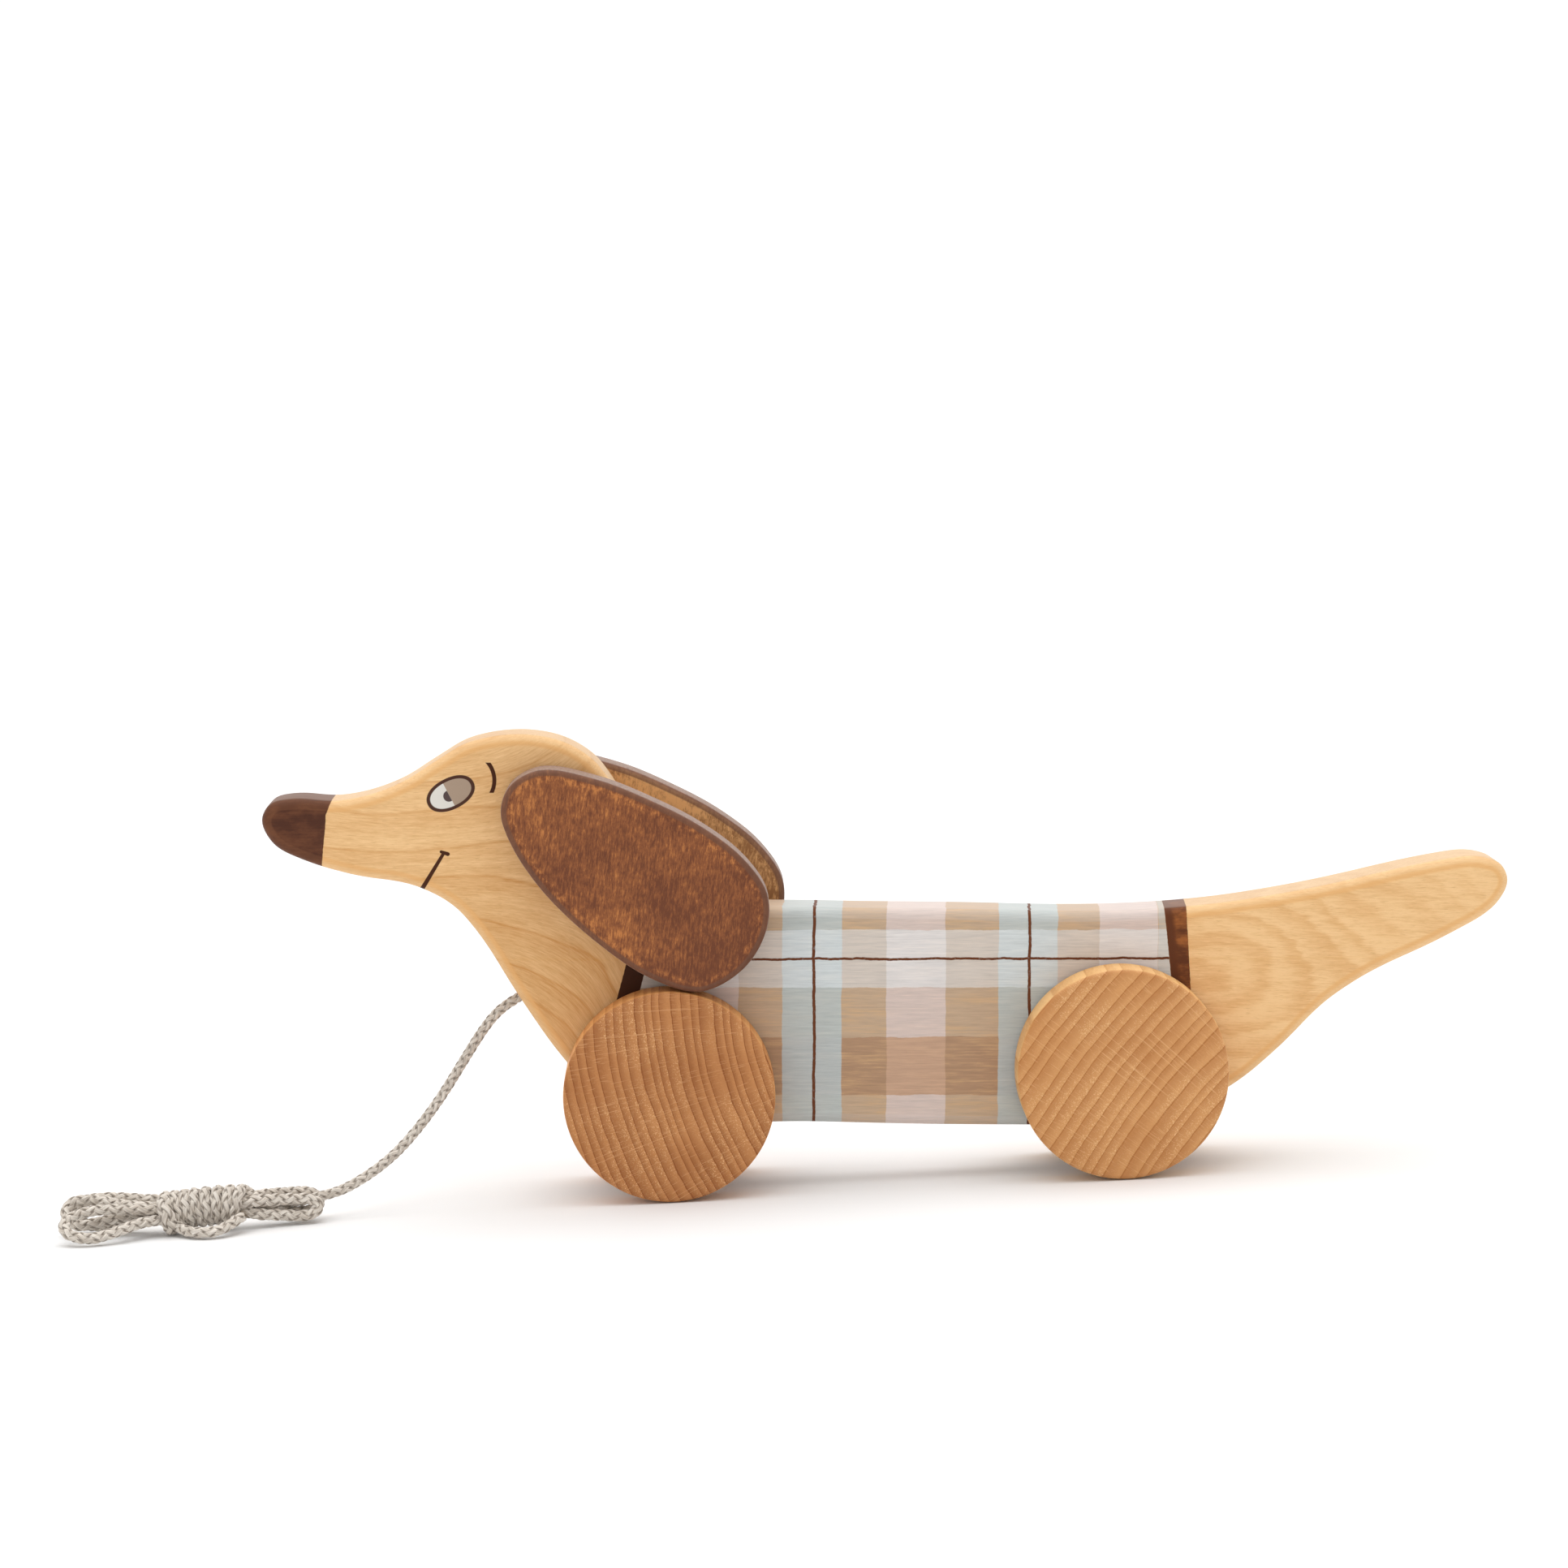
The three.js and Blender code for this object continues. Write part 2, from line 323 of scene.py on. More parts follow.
# Out of the winding at its far left, then three loops to the left and two folds to the right.
HANK_LOOPS = [
    (-153.8, -28.9, 8.4), (-157.6, -28.3, 9.2), (-161.8, -27.6, 9.6), (-167.4, -26.3, 9.9),
    (-173.3, -25.2, 9.8), (-178.0, -24.6, 8.6), (-180.6, -24.6, 6.2), (-180.2, -25.2, 3.8),
    (-177.0, -26.0, 2.2), (-171.0, -27.0, 1.7), (-164.0, -28.8, 2.2), (-158.0, -30.6, 3.6),
    (-153.0, -32.0, 4.9), (-142.5, -31.8, 5.8), (-130.0, -30.4, 6.0), (-124.0, -28.6, 4.5),
    (-117.0, -26.3, 3.0), (-111.8, -24.3, 2.5), (-108.6, -22.6, 3.0), (-107.3, -21.4, 4.7),
    (-108.2, -21.0, 6.6), (-111.2, -21.6, 7.9), (-115.5, -23.2, 8.3), (-121.5, -26.0, 8.7),
    (-126.0, -29.2, 9.0), (-130.0, -31.2, 9.0), (-142.5, -32.6, 8.7), (-153.0, -33.0, 7.9),
    (-157.4, -33.6, 8.1), (-161.9, -32.9, 8.5), (-166.9, -31.0, 9.0), (-172.4, -29.3, 9.9),
    (-177.6, -28.9, 10.2), (-181.2, -29.8, 9.2), (-182.3, -31.5, 7.0), (-181.2, -33.2, 4.9),
    (-178.0, -34.2, 3.6), (-173.0, -34.0, 4.1), (-167.0, -33.4, 5.0), (-160.0, -33.6, 5.4),
    (-153.0, -34.2, 4.6), (-142.5, -34.1, 5.4), (-130.0, -33.0, 5.2), (-124.4, -32.8, 4.0),
    (-118.0, -31.5, 3.2), (-112.6, -30.3, 2.4), (-108.9, -29.8, 2.8), (-107.2, -29.0, 4.4),
    (-107.6, -28.4, 6.0), (-110.0, -28.4, 7.0), (-114.5, -29.2, 7.4), (-121.0, -30.8, 7.8),
    (-126.0, -32.6, 8.1), (-130.0, -33.6, 8.0), (-142.5, -34.7, 7.9), (-153.0, -35.0, 7.1),
    (-157.0, -36.4, 7.7), (-161.5, -37.0, 8.1), (-168.6, -37.5, 8.6), (-174.2, -38.0, 8.4),
    (-178.3, -39.2, 7.6), (-180.8, -41.4, 6.5), (-181.3, -44.2, 4.8), (-179.5, -46.3, 3.3),
    (-176.2, -47.5, 2.4), (-172.4, -47.5, 2.1), (-168.6, -46.5, 2.7), (-164.8, -44.7, 3.5),
    (-161.0, -42.0, 4.3), (-157.4, -39.7, 4.7), (-154.0, -38.0, 4.7), (-151.3, -37.3, 4.4),
    (-149.0, -38.3, 3.3), (-147.0, -40.2, 2.2), (-144.4, -43.0, 1.8), (-141.2, -45.1, 1.75),
    (-137.6, -45.5, 1.8), (-134.3, -44.0, 2.4), (-131.5, -41.2, 3.5), (-129.0, -38.4, 4.7)]


def winding():
    """The turns round the hank's waist, right to left: over the top, down the front."""
    points = []
    for i in range(round(WINDING_TURNS * TURN_POINTS) + 1):
        turn = i / TURN_POINTS
        a = math.tau * turn
        done = turn / WINDING_TURNS
        lean = -1.0 + 2.9 * min(turn / 4.0, 1.0)
        x = -130.4 - WINDING_PITCH * turn
        x -= lean * math.cos(a)
        radius = 4.8 - 0.5 * min(turn / 2.5, 1.0)
        y = -32.0 - 1.4 * done
        z = 7.3 - 0.9 * max(0.0, done - 0.35) / 0.65
        last = max(0.0, turn - WINDING_TURNS + 0.5) / 0.5
        radius += 3.0 * math.sin(math.pi * last) ** 0.8 if last else 0.0
        y -= radius * math.sin(a)
        z += radius * math.cos(a) if math.cos(a) < 0 else min(radius, 4.4) * math.cos(a)
        points.append((x, y, max(z, 1.8)))
    return points


def on_floor(points):
    return np.array([(FRONT_AXLE[0] + x * MM, y * MM, z * MM) for x, y, z in points])


SIDE_KEPT, SIDE_PULL = 0.985, 1.1   # weights of the last point's direction and of a bend's
SIDE_OWN, SIDE_NEXT = 0.2, 0.8      # weights that even the directions out, back along the line


def frames(line):
    """A direction along, one across and one out for each point, the last in the bend's plane."""
    along = np.gradient(line, axis=0)
    along /= np.linalg.norm(along, axis=1)[:, None]
    bend = np.cross(along, np.gradient(along, axis=0))
    side = np.zeros_like(line)
    kept = np.array((0.0, -1.0, 0.0))
    for i, b in enumerate(bend):
        b = b if b @ kept > 0 else -b
        kept = kept * SIDE_KEPT + b * SIDE_PULL
        kept -= (kept @ along[i]) * along[i]
        kept /= np.linalg.norm(kept)
        side[i] = kept
    for i in range(len(side) - 2, -1, -1):
        even = side[i] * SIDE_OWN + side[i + 1] * SIDE_NEXT
        even -= (even @ along[i]) * along[i]
        side[i] = even / np.linalg.norm(even)
    return along, side, np.cross(side, along)


class Yarn:
    """Collects tubes with a map of length and turn, for one mesh."""

    def __init__(self):
        self.points, self.faces, self.maps, self.slots = [], [], [], []

    def tube(self, line, wide, out, half_wide, half_deep, sides, seed, slot=0, taper=False):
        base = len(self.points)
        n = len(line)
        length = np.concatenate([[0.0], np.cumsum(np.linalg.norm(np.diff(line, axis=0), axis=1))])
        for i in range(n):
            size = 1.0 if not taper else max(0.12, 1 - i / (n - 1))
            for j in range(sides):
                a = math.tau * j / sides
                self.points.append(line[i] + size * (wide[i] * half_wide * math.cos(a)
                                                     + out[i] * half_deep * math.sin(a)))
        for i in range(n - 1):
            for j in range(sides):
                k = (j + 1) % sides
                row, up = base + i * sides, base + (i + 1) * sides
                self.faces.append((row + j, row + k, up + k, up + j))
                self.slots.append(slot)
                u, v = length[i] / MM + seed, length[i + 1] / MM + seed
                s, t = j / sides, (j + 1) / sides
                self.maps += [(u, s), (u, t), (v, t), (v, s)]
        for first, order in ((base, -1), (base + (n - 1) * sides, 1)):
            self.faces.append(tuple(first + j for j in range(sides))[::order])
            self.slots.append(slot)
            self.maps += [(seed, 0.0)] * sides

    def make(self, name):
        mesh = bpy.data.meshes.new(name)
        mesh.from_pydata([(x, y, max(z, 0.02 * MM)) for x, y, z in self.points], [], self.faces)
        mesh.polygons.foreach_set("material_index", self.slots)
        mesh.polygons.foreach_set("use_smooth", [True] * len(self.faces))
        layer = mesh.uv_layers.new(name="yarn")
        layer.data.foreach_set("uv", [c for uv in self.maps for c in uv])
        mesh.update()
        obj = bpy.data.objects.new(name, mesh)
        bpy.context.scene.collection.objects.link(obj)
        return obj


CORD_STEP = 0.55        # mm between the rings of points along the cord
STRAY_FIBRES = 260
END_FIBRES = 70
BRAID_LAY = 17.0        # mm of cord for one turn of a strand
BRAID_RADIUS = 0.98     # mm from the cord's middle to a strand's middle
BRAID_WEAVE = 0.22      # mm that a strand rises and dips as it crosses the others
CORE_HALF = (0.75, 0.7) # mm, half its width and half its depth
STRAND_HALF = (0.74, 0.44)
STRAY_HALF = 0.035      # mm, the radius of a thin fibre
END_HALF = 0.09
# How much the slack cord spreads: (mm along it, factor) across its bends and within their plane.
CORD_BROAD = [(0.0, 1.0), (100.0, 1.0), (125.0, 1.05), (160.0, 1.12), (320.0, 1.12), (328.0, 1.7),
              (341.0, 1.7), (351.0, 1.2), (365.0, 1.05), (900.0, 1.05)]
CORD_DEEP = [(0.0, 1.0), (95.0, 1.0), (125.0, 1.15), (340.0, 1.1), (370.0, 1.2), (600.0, 1.2),
             (632.0, 1.2), (640.0, 1.4), (662.0, 1.42), (672.0, 1.22), (900.0, 1.15)]


def braided_cord():
    """Eight flat strands, four each way, over and under each other round a thin core."""
    line = smooth_line(on_floor(FREE_RUN + TO_WINDING + winding() + HANK_LOOPS), CORD_STEP * MM)
    along, side, out = frames(line)
    s = np.concatenate([[0.0], np.cumsum(np.linalg.norm(np.diff(line, axis=0), axis=1))]) / MM
    broad, deep = (np.interp(s, *zip(*key))[:, None] for key in (CORD_BROAD, CORD_DEEP))
    yarn = Yarn()
    yarn.tube(line, side * broad, out * deep, CORE_HALF[0] * MM, CORE_HALF[1] * MM, 6, 0.0)
    rng = random.Random(7)
    for way in (1, -1):
        for k in range(4):
            turn = way * math.tau * s / BRAID_LAY + math.tau * k / 4 + math.radians(22.5)
            rise = BRAID_RADIUS + way * BRAID_WEAVE * np.cos(4 * math.tau * s / BRAID_LAY)
            ca, sa = np.cos(turn)[:, None], np.sin(turn)[:, None]
            outward = side * ca + out * sa
            strand = line + (side * ca * broad + out * sa * deep) * (rise * MM)[:, None]
            ahead = np.gradient(strand, axis=0)
            ahead /= np.linalg.norm(ahead, axis=1)[:, None]
            wide = np.cross(ahead, outward)
            wide /= np.linalg.norm(wide, axis=1)[:, None]
            yarn.tube(strand, wide * (broad + deep) / 2, np.cross(wide, ahead),
                      STRAND_HALF[0] * MM, STRAND_HALF[1] * MM, 8, rng.uniform(0, 900))

    def stray(i, length, spread):
        a = rng.uniform(0, math.tau)
        outward = side[i] * math.cos(a) + out[i] * math.sin(a)
        sense = rng.choice((-1, 1))
        points = []
        for j in range(6):
            f = j / 5
            away = (1.25 + spread * f * f) * MM
            drift = along[i] * sense * length * f * MM
            points.append(line[i] + outward * away + drift)
        points = np.array(points)
        points[:, 2] = np.maximum(points[:, 2], 0.2 * MM)
        wide = np.tile(np.cross(outward, along[i]), (6, 1))
        deep = np.tile(outward, (6, 1))
        yarn.tube(points, wide, deep, STRAY_HALF * MM, STRAY_HALF * MM, 3,
                  rng.uniform(0, 900), taper=True)

    for _ in range(STRAY_FIBRES):
        stray(rng.randrange(30, len(line) - 8), rng.uniform(1.5, 4.0), rng.uniform(0.1, 1.0))
    end = line[-1]
    for _ in range(END_FIBRES):
        a, r = rng.uniform(0, math.tau), math.sqrt(rng.random()) * 1.25
        base = end + (side[-1] * math.cos(a) + out[-1] * math.sin(a)) * r * MM
        reach = rng.uniform(1.2, 3.6)
        aim = along[-1] + (side[-1] * math.cos(a) + out[-1] * math.sin(a)) * rng.uniform(0, 0.35)
        points = np.array([base - along[-1] * 1.2 * MM + aim * reach * f * MM
                           for f in (0.0, 0.33, 0.66, 1.0)])
        points[:, 2] = np.maximum(points[:, 2], 0.2 * MM)
        yarn.tube(points, np.tile(side[-1], (4, 1)), np.tile(out[-1], (4, 1)),
                  END_HALF * MM, END_HALF * MM, 4, rng.uniform(0, 900), 1, taper=True)
    return yarn.make("pull_cord"), line


# ---------------------------------------------------------------- shader arithmetic


def srgb(r, g, b):
    def one(c):
        c /= 255
        return c / 12.92 if c <= 0.04045 else ((c + 0.055) / 1.055) ** 2.4
    return (one(r), one(g), one(b), 1.0)


class Num:
    """A number that the material being made computes. Arithmetic on it adds Math nodes."""

    tree = None

    def __init__(self, out):
        self.out = out

    def __add__(self, other):
        return calc("ADD", self, other)

    __radd__ = __add__

    def __sub__(self, other):
        return calc("SUBTRACT", self, other)

    def __rsub__(self, other):
        return calc("SUBTRACT", other, self)

    def __mul__(self, other):
        return calc("MULTIPLY", self, other)

    __rmul__ = __mul__


def plug(socket, value):
    if isinstance(value, Num):
        Num.tree.links.new(value.out, socket)
    elif isinstance(value, bpy.types.NodeSocket):
        Num.tree.links.new(value, socket)
    else:
        socket.default_value = value


def calc(kind, *values, clamp=False):
    node = Num.tree.nodes.new("ShaderNodeMath")
    node.operation = kind
    node.use_clamp = clamp
    for socket, value in zip(node.inputs, values):
        plug(socket, value)
    return Num(node.outputs[0])


def ramp(value, start, end):
    """0 before start, 1 after end, smooth between."""
    node = Num.tree.nodes.new("ShaderNodeMapRange")
    node.interpolation_type = "SMOOTHSTEP"
    plug(node.inputs["Value"], value)
    plug(node.inputs["From Min"], start)
    plug(node.inputs["From Max"], end)
    return Num(node.outputs[0])


def inside(value, start, end, soft=0.12):
    """1 where value is between start and end."""
    return ramp(value - start, -soft, soft) * (1 - ramp(value - end, -soft, soft))


def clamped(value):
    return calc("ADD", value, 0.0, clamp=True)


def vector(x, y, z):
    node = Num.tree.nodes.new("ShaderNodeCombineXYZ")
    for socket, value in zip(node.inputs, (x, y, z)):
        plug(socket, value)
    return node.outputs[0]


def noise(x, y, z, detail=2.0, rough=0.5):
    node = Num.tree.nodes.new("ShaderNodeTexNoise")
    plug(node.inputs["Vector"], vector(x, y, z))
    node.inputs["Scale"].default_value = 1.0
    node.inputs["Detail"].default_value = detail
    node.inputs["Roughness"].default_value = rough
    return Num(node.outputs[0])


def mix(amount, one, two, kind="MIX"):
    node = Num.tree.nodes.new("ShaderNodeMix")
    node.data_type = "RGBA"
    node.blend_type = kind
    plug(node.inputs[0], amount)
    plug(node.inputs[6], one)
    plug(node.inputs[7], two)
    return node.outputs[2]


def scaled(colour, amount):
    node = Num.tree.nodes.new("ShaderNodeVectorMath")
    node.operation = "SCALE"
    plug(node.inputs[0], colour)
    plug(node.inputs["Scale"], amount)
    return node.outputs[0]


def position(centre=(0.0, 0.0, 0.0), slope=0.0):
    """Millimetres from centre along the piece, across it and up it, where along slopes down."""
    node = Num.tree.nodes.new("ShaderNodeTexCoord")
    split = Num.tree.nodes.new("ShaderNodeSeparateXYZ")
    Num.tree.links.new(node.outputs["Object"], split.inputs[0])
    x, y, z = (Num(out) * 1000.0 - c / MM for out, c in zip(split.outputs, centre))
    if not slope:
        return x, y, z
    sin, cos = math.sin(slope), math.cos(slope)
    return x * cos - z * sin, y, x * sin + z * cos


class material:
    """with material("name") as m: ... m.done(colour, roughness, height)"""

    def __init__(self, name):
        self.name = name

    def __enter__(self):
        self.made = bpy.data.materials.new(self.name)
        self.made.use_nodes = True
        Num.tree = self.made.node_tree
        return self

    def __exit__(self, *_):
        Num.tree = None

    def done(self, colour, roughness, height=None, depth=0.1, specular=0.5, sheen=0.0):
        surface = Num.tree.nodes["Principled BSDF"]
        plug(surface.inputs["Base Color"], colour)
        plug(surface.inputs["Roughness"], roughness)
        plug(surface.inputs["Specular IOR Level"], specular)
        surface.inputs["Sheen Weight"].default_value = sheen
        if height is not None:
            bump = Num.tree.nodes.new("ShaderNodeBump")
            bump.inputs["Strength"].default_value = 1.0
            bump.inputs["Distance"].default_value = depth * MM
            plug(bump.inputs["Height"], height)
            Num.tree.links.new(bump.outputs[0], surface.inputs["Normal"])


# ---------------------------------------------------------------- wood, stain and paint


def birch(u, y, w):
    """Bare oiled birch: colour and height. The growth lines sag through the head, fall away down
    the neck and make nested arches behind the belt. The neck is painted darker by the ear, as
    painted shade."""
    bowl = w - (w - 68.0) * (u + 75.0) * (u + 75.0) * 0.00018
    sway = noise(u * 0.022, y * 0.03, w * 0.03, 2.0) - 0.5
    lines = calc("FRACT", (bowl + sway * 10.0) * 0.1 + noise(bowl * 0.05, y * 0.02, 3.0, 1.0) * 0.9)
    across, along = w - 35.0 + calc("MAXIMUM", u - 184.0, 0.0) * 0.34, (u - 160.0) * 0.535
    ragged = noise(u * 0.12, y * 0.1, w * 0.5, 3.0) - 0.5
    arch = calc("SQRT", across * across + along * along) + sway * 22.0 + ragged * 5.0 + y * 0.12
    arches = calc("FRACT", arch * 0.13 + noise(arch * 0.09, 8.0, 3.0, 1.0) * 1.1)
    tail = ramp(u, 95.0, 125.0)
    waves = clamped(ramp(lines, 0.3, 0.84) * 0.3 + inside(lines, 0.85, 0.905, 0.04) * 0.65
                    - ramp(lines, 0.87, 0.97) * 0.3) * (1 - tail)
    fade = 1 - ramp(u, 205.0, 232.0) * 0.65
    waves = waves + ramp(arches, 0.1, 0.72) * (1 - ramp(arches, 0.76, 1.0)) * tail * fade
    level = bowl * (1 - tail) + (w + (u - 160.0) * 0.03) * tail
    fibre = noise(u * 0.24, y * 1.6, level * 3.2, 4.0, 0.7)
    band = noise(u * 0.045, y * 0.3, level * 0.5, 3.0, 0.6)
    cloud = noise(u * 0.03, y * 0.03, w * 0.045, 2.0)
    fleck = noise(u * 0.32, y * 3.0, level * 4.2, 1.0)
    # Painted shade: the neck is painted darker by the ear.
    neck = (1 - ramp(w, 42.0, 78.0)) * (1 - tail)
    tone = ((fibre - 0.5) * 1.5 + waves * (0.42 - tail * 0.2) + (band - 0.5) * 0.7
            + (cloud - 0.5) * 0.5 + neck * 0.3 - tail * 0.13 + 0.25)
    colour = mix(clamped(tone), srgb(242, 203, 150), srgb(200, 146, 86))
    colour = mix(waves * (0.25 - tail * 0.08), colour, srgb(214, 150, 84))
    colour = mix(ramp(fleck, 0.62, 0.72) * 0.34, colour, srgb(176, 124, 72))
    return colour, fibre * 0.6 + fleck * 0.4


def inset():
    """Millimetres in from the side wall of a sawn board, round its edge and over its face."""
    node = Num.tree.nodes.new("ShaderNodeAttribute")
    node.attribute_name = "inset"
    return Num(node.outputs["Fac"])


def bare_board(u, y, w, reach, wall, rounded):
    """The board's wood, by where it is flat, rounded, banded and sawn. Also its height. The rounded
    edge is painted paler as painted highlight, the sawn side wall paler and greyer as painted
    sheen, and an orange band runs over the inner part of the rounded edge.
    """
    wood, height = birch(u, y, w)
    # An orange band over the inner part of the rounded edge and just past it.
    edge_band = inside(reach, BOARD_EDGE - 1.4, BOARD_EDGE + 0.2, 0.6)
    # Painted highlight: the rounded edge is painted paler and yellower.
    wood = mix(rounded * 0.6, wood, mix(height, srgb(242, 205, 154), srgb(213, 162, 107)))
    wood = mix(edge_band * 0.45, wood, srgb(228, 166, 92))
    # Painted sheen: the sawn side wall is painted paler and greyer.
    return mix(wall * 0.6, wood, mix(height, srgb(222, 196, 165), srgb(190, 156, 119))), height


def tartan(u, y, w, across, shiver, grain, wall, rounded):
    """The coat: aqua, tan, pink, tan along the body, crossed by a white and a brown band. Also
    where its thin brown threads run, and the place along it with the brush's wobble."""
    cu = across + (noise(u * 0.05, y * 0.2, w * 0.11, 2.0) - 0.5) * 1.0 + shiver
    cw = w + (noise(u * 0.12 + 40, y * 0.2, w * 0.05, 2.0) - 0.5) * 1.3 + shiver
    aqua = inside(cu, 34.3, 52.4) + inside(cu, 100.1, 118.1) + inside(cu, 148.8, 152.5) * 0.5
    pink = inside(cu, 66.0, 84.0) + inside(cu, 130.8, 148.6) + inside(cu, 3.0, 21.0)
    white = inside(cw, 31.0, 48.7)
    brown = inside(cw, -2.0, 15.8)

    def stripes(tan, rose, sea):
        return mix(aqua, mix(pink, tan, rose), sea)

    coat = stripes(srgb(188, 162, 135), srgb(207, 189, 180), srgb(181, 187, 184))
    coat = mix(white, coat, stripes(srgb(204, 194, 184), srgb(218, 213, 210),
                                    srgb(203, 210, 211)))
    coat = mix(brown, coat, stripes(srgb(170, 136, 107), srgb(191, 156, 130),
                                    srgb(179, 185, 184)))
    brush = noise(u * 0.05, y * 0.2, w * 0.3, 3.0, 0.6)
    warm = ramp(brush + (grain - 0.5) * 0.9, 0.42, 0.72)
    plain = 1 - clamped(aqua + pink + white)
    coat = mix(warm * plain * 0.42 + warm * 0.06, coat, srgb(196, 160, 118))
    coat = scaled(coat, 0.73 + grain * 0.62 + (brush - 0.5) * 0.12)
    # Painted sheen: the coat is paler and greyer on the side wall and the rounded edge.
    coat = mix(wall * 0.12 + rounded * 0.12, coat, srgb(216, 214, 216))
    thread = inside(cw, 39.45, 40.2, 0.08)
    thread = calc("MAXIMUM", thread, inside(cu, 43.55, 44.48, 0.08))
    thread = calc("MAXIMUM", thread, inside(cu, 109.05, 109.95, 0.08))
    thin = ramp(noise(u * 0.8, y, w * 0.8, 2.0), 0.2, 0.45)
    return mix(thread * (0.76 + thin * 0.24), coat, srgb(104, 58, 34)), thread, cu


def between(low, high):
    """1 where low is above 0 and high isn't."""
    return ramp(low, -0.1, 0.1) * (1 - ramp(high, -0.1, 0.1))


def brown_stain(u, y, w, nose, straps, from_belt, grain, height, wall, rounded):
    """Brown stain, even on the nose, worn on the belt and nearly black on the collar, which is
    partly painted shade under the ear. The sawn side wall is painted paler and greyer, as
    painted sheen.
    """
    patch = noise(u * 0.16, y * 0.25, w * 0.3, 3.0, 0.6)
    warm = ramp(patch + grain * 0.4, 0.55, 0.95)
    stain = mix(warm, srgb(80, 48, 36), srgb(106, 66, 46))
    strap_with_collar_shade = mix(warm * ramp(from_belt, 1.6, 3.4), srgb(97, 55, 33), srgb(156, 94, 50))
    # The collar: its stain, darkened nearly to black as painted shade under the ear.
    strap_with_collar_shade = mix(1 - ramp(u, 40.0, 60.0), strap_with_collar_shade, srgb(66, 36, 21))
    stain = mix(clamped(straps), stain, strap_with_collar_shade)
    stain = mix(rounded * 0.3 * nose, stain, srgb(128, 84, 58))
    # Painted sheen: the stain's side wall is painted paler and greyer.
    return mix(wall * 0.75, stain, mix(height, srgb(142, 113, 98), srgb(116, 89, 75)))


def stroke(u, w, start, end, half_start, half_end):
    """A straight painted line that widens or narrows from start to end."""
    dx, dw = end[0] - start[0], end[1] - start[1]
    span = dx * dx + dw * dw
    t = clamped(((u - start[0]) * dx + (w - start[1]) * dw) * (1 / span))
    gx, gw = u - start[0] - t * dx, w - start[1] - t * dw
    gap = calc("SQRT", gx * gx + gw * gw) - half_start - t * (half_end - half_start)
    return 1 - ramp(gap, -0.09, 0.09)


def face(colour, u, y, w):
    """Paints the eye, the brow and the mouth over colour, on both flats of the board. Also where
    the brow and the mouth are."""
    ink = srgb(72, 40, 26)
    tilt = math.radians(27)
    ex, ew = u + 65.9, w - 90.5
    ea = ex * math.cos(tilt) + ew * math.sin(tilt)
    eb = ew * math.cos(tilt) - ex * math.sin(tilt)

    def oval(a, b):
        return calc("POWER", calc("ABSOLUTE", ea) * (1 / a), 2.15) + calc(
            "POWER", calc("ABSOLUTE", eb) * (1 / b), 2.15)

    lid = ramp((u + 66.35) * 0.886 + (w - 90.0) * 0.463, -0.08, 0.08)
    eye = mix(lid, srgb(222, 218, 210), srgb(168, 146, 126))
    px, pw = u + 66.45, w - 89.75
    pupil = (1 - ramp(px * px + pw * pw, 2.6, 3.3)) * (1 - lid)
    eye = mix(pupil, eye, srgb(84, 68, 66))
    from_middle = calc("ABSOLUTE", y)
    flat = ramp(from_middle, 9.2, 9.6)
    colour = mix((1 - ramp(oval(7.75, 4.75), 0.96, 1.04)) * flat, colour, ink)
    colour = mix((1 - ramp(oval(6.62, 3.78), 0.95, 1.05)) * flat, colour, eye)
    bx, bw = u + 61.2, w - 94.53
    bow = calc("SQRT", bx * bx + bw * bw) - 8.5
    brow = inside(bow, -0.62, 0.62, 0.1) * inside(w, 90.7, 99.9, 0.15) * ramp(bx, 0, 0.1)
    mouth = calc("MAXIMUM", stroke(u, w, (-75.4, 60.4), (-68.3, 72.1), 0.7, 0.5),
                 stroke(u, w, (-68.9, 72.8), (-66.9, 72.1), 0.46, 0.6))
    near_face = ramp(from_middle, 7.4, 7.8)
    line = calc("MAXIMUM", brow, mouth * near_face) * near_face
    return mix(line, colour, ink), line


def painted_body():
    """The board's paint on its bare birch. u runs to the tail and w up, from the front axle."""
    with material("birch_painted") as m:
        u, y, w = position(FRONT_AXLE, PITCH)
        reach = inset()
        # The side wall and the rounded edge, where paler colours are painted as sheen and
        # highlight.
        wall = 1 - ramp(reach, 0.0, 0.35)
        rounded = ramp(reach, 0.05, 0.5) * (1 - ramp(reach, BOARD_EDGE - 0.4, BOARD_EDGE))
        colour, height = bare_board(u, y, w, reach, wall, rounded)
        grain = noise(u * 0.12, y * 1.5, w * 2.2, 4.0, 0.65)
        shiver = (noise(u * 0.9, y * 0.5, w * 0.9, 2.0) - 0.5) * 0.3
        across = u - (y + BOARD_HALF) * 0.06    # the painted lines lean a little across the board
        coat, thread, cu = tartan(u, y, w, across, shiver, grain, wall, rounded)

        edge = shiver * 0.8
        collar_left = -13.3 + (w - 37.4) * 0.27
        collar_right = -8.2 + (w - 33.0) * 0.25
        belt_left = 150.5 + (54.9 - w) * 0.107
        belt_right = 157.2 + (54.9 - w) * 0.0625
        coated = between(cu - collar_right, across + edge - belt_left)
        nose = 1 - ramp(u + edge + 103.7 - calc("MAXIMUM", w - 84.0, 0.0) * 0.4
                        + calc("MAXIMUM", 82.0 - w, 0.0) * 0.1, -0.1, 0.1)
        collar = between(u + edge - collar_left, u + edge - collar_right)
        belt = between(across + edge - belt_left, across + edge - belt_right)
        stained = clamped(nose + collar + belt)

        colour = mix(coated, colour, coat)
        colour = mix(stained, colour, brown_stain(
            u, y, w, nose, collar + belt, u - belt_left, grain, height, wall, rounded))
        colour, line = face(colour, u, y, w)
        paint = clamped(coated + stained)
        rough = 0.5 - paint * 0.04 + (grain - 0.5) * 0.25
        m.done(colour, rough, height * (1 - paint * 0.45), depth=0.05,
               specular=0.22 - clamped(stained + line + thread) * 0.14)
    return m.made


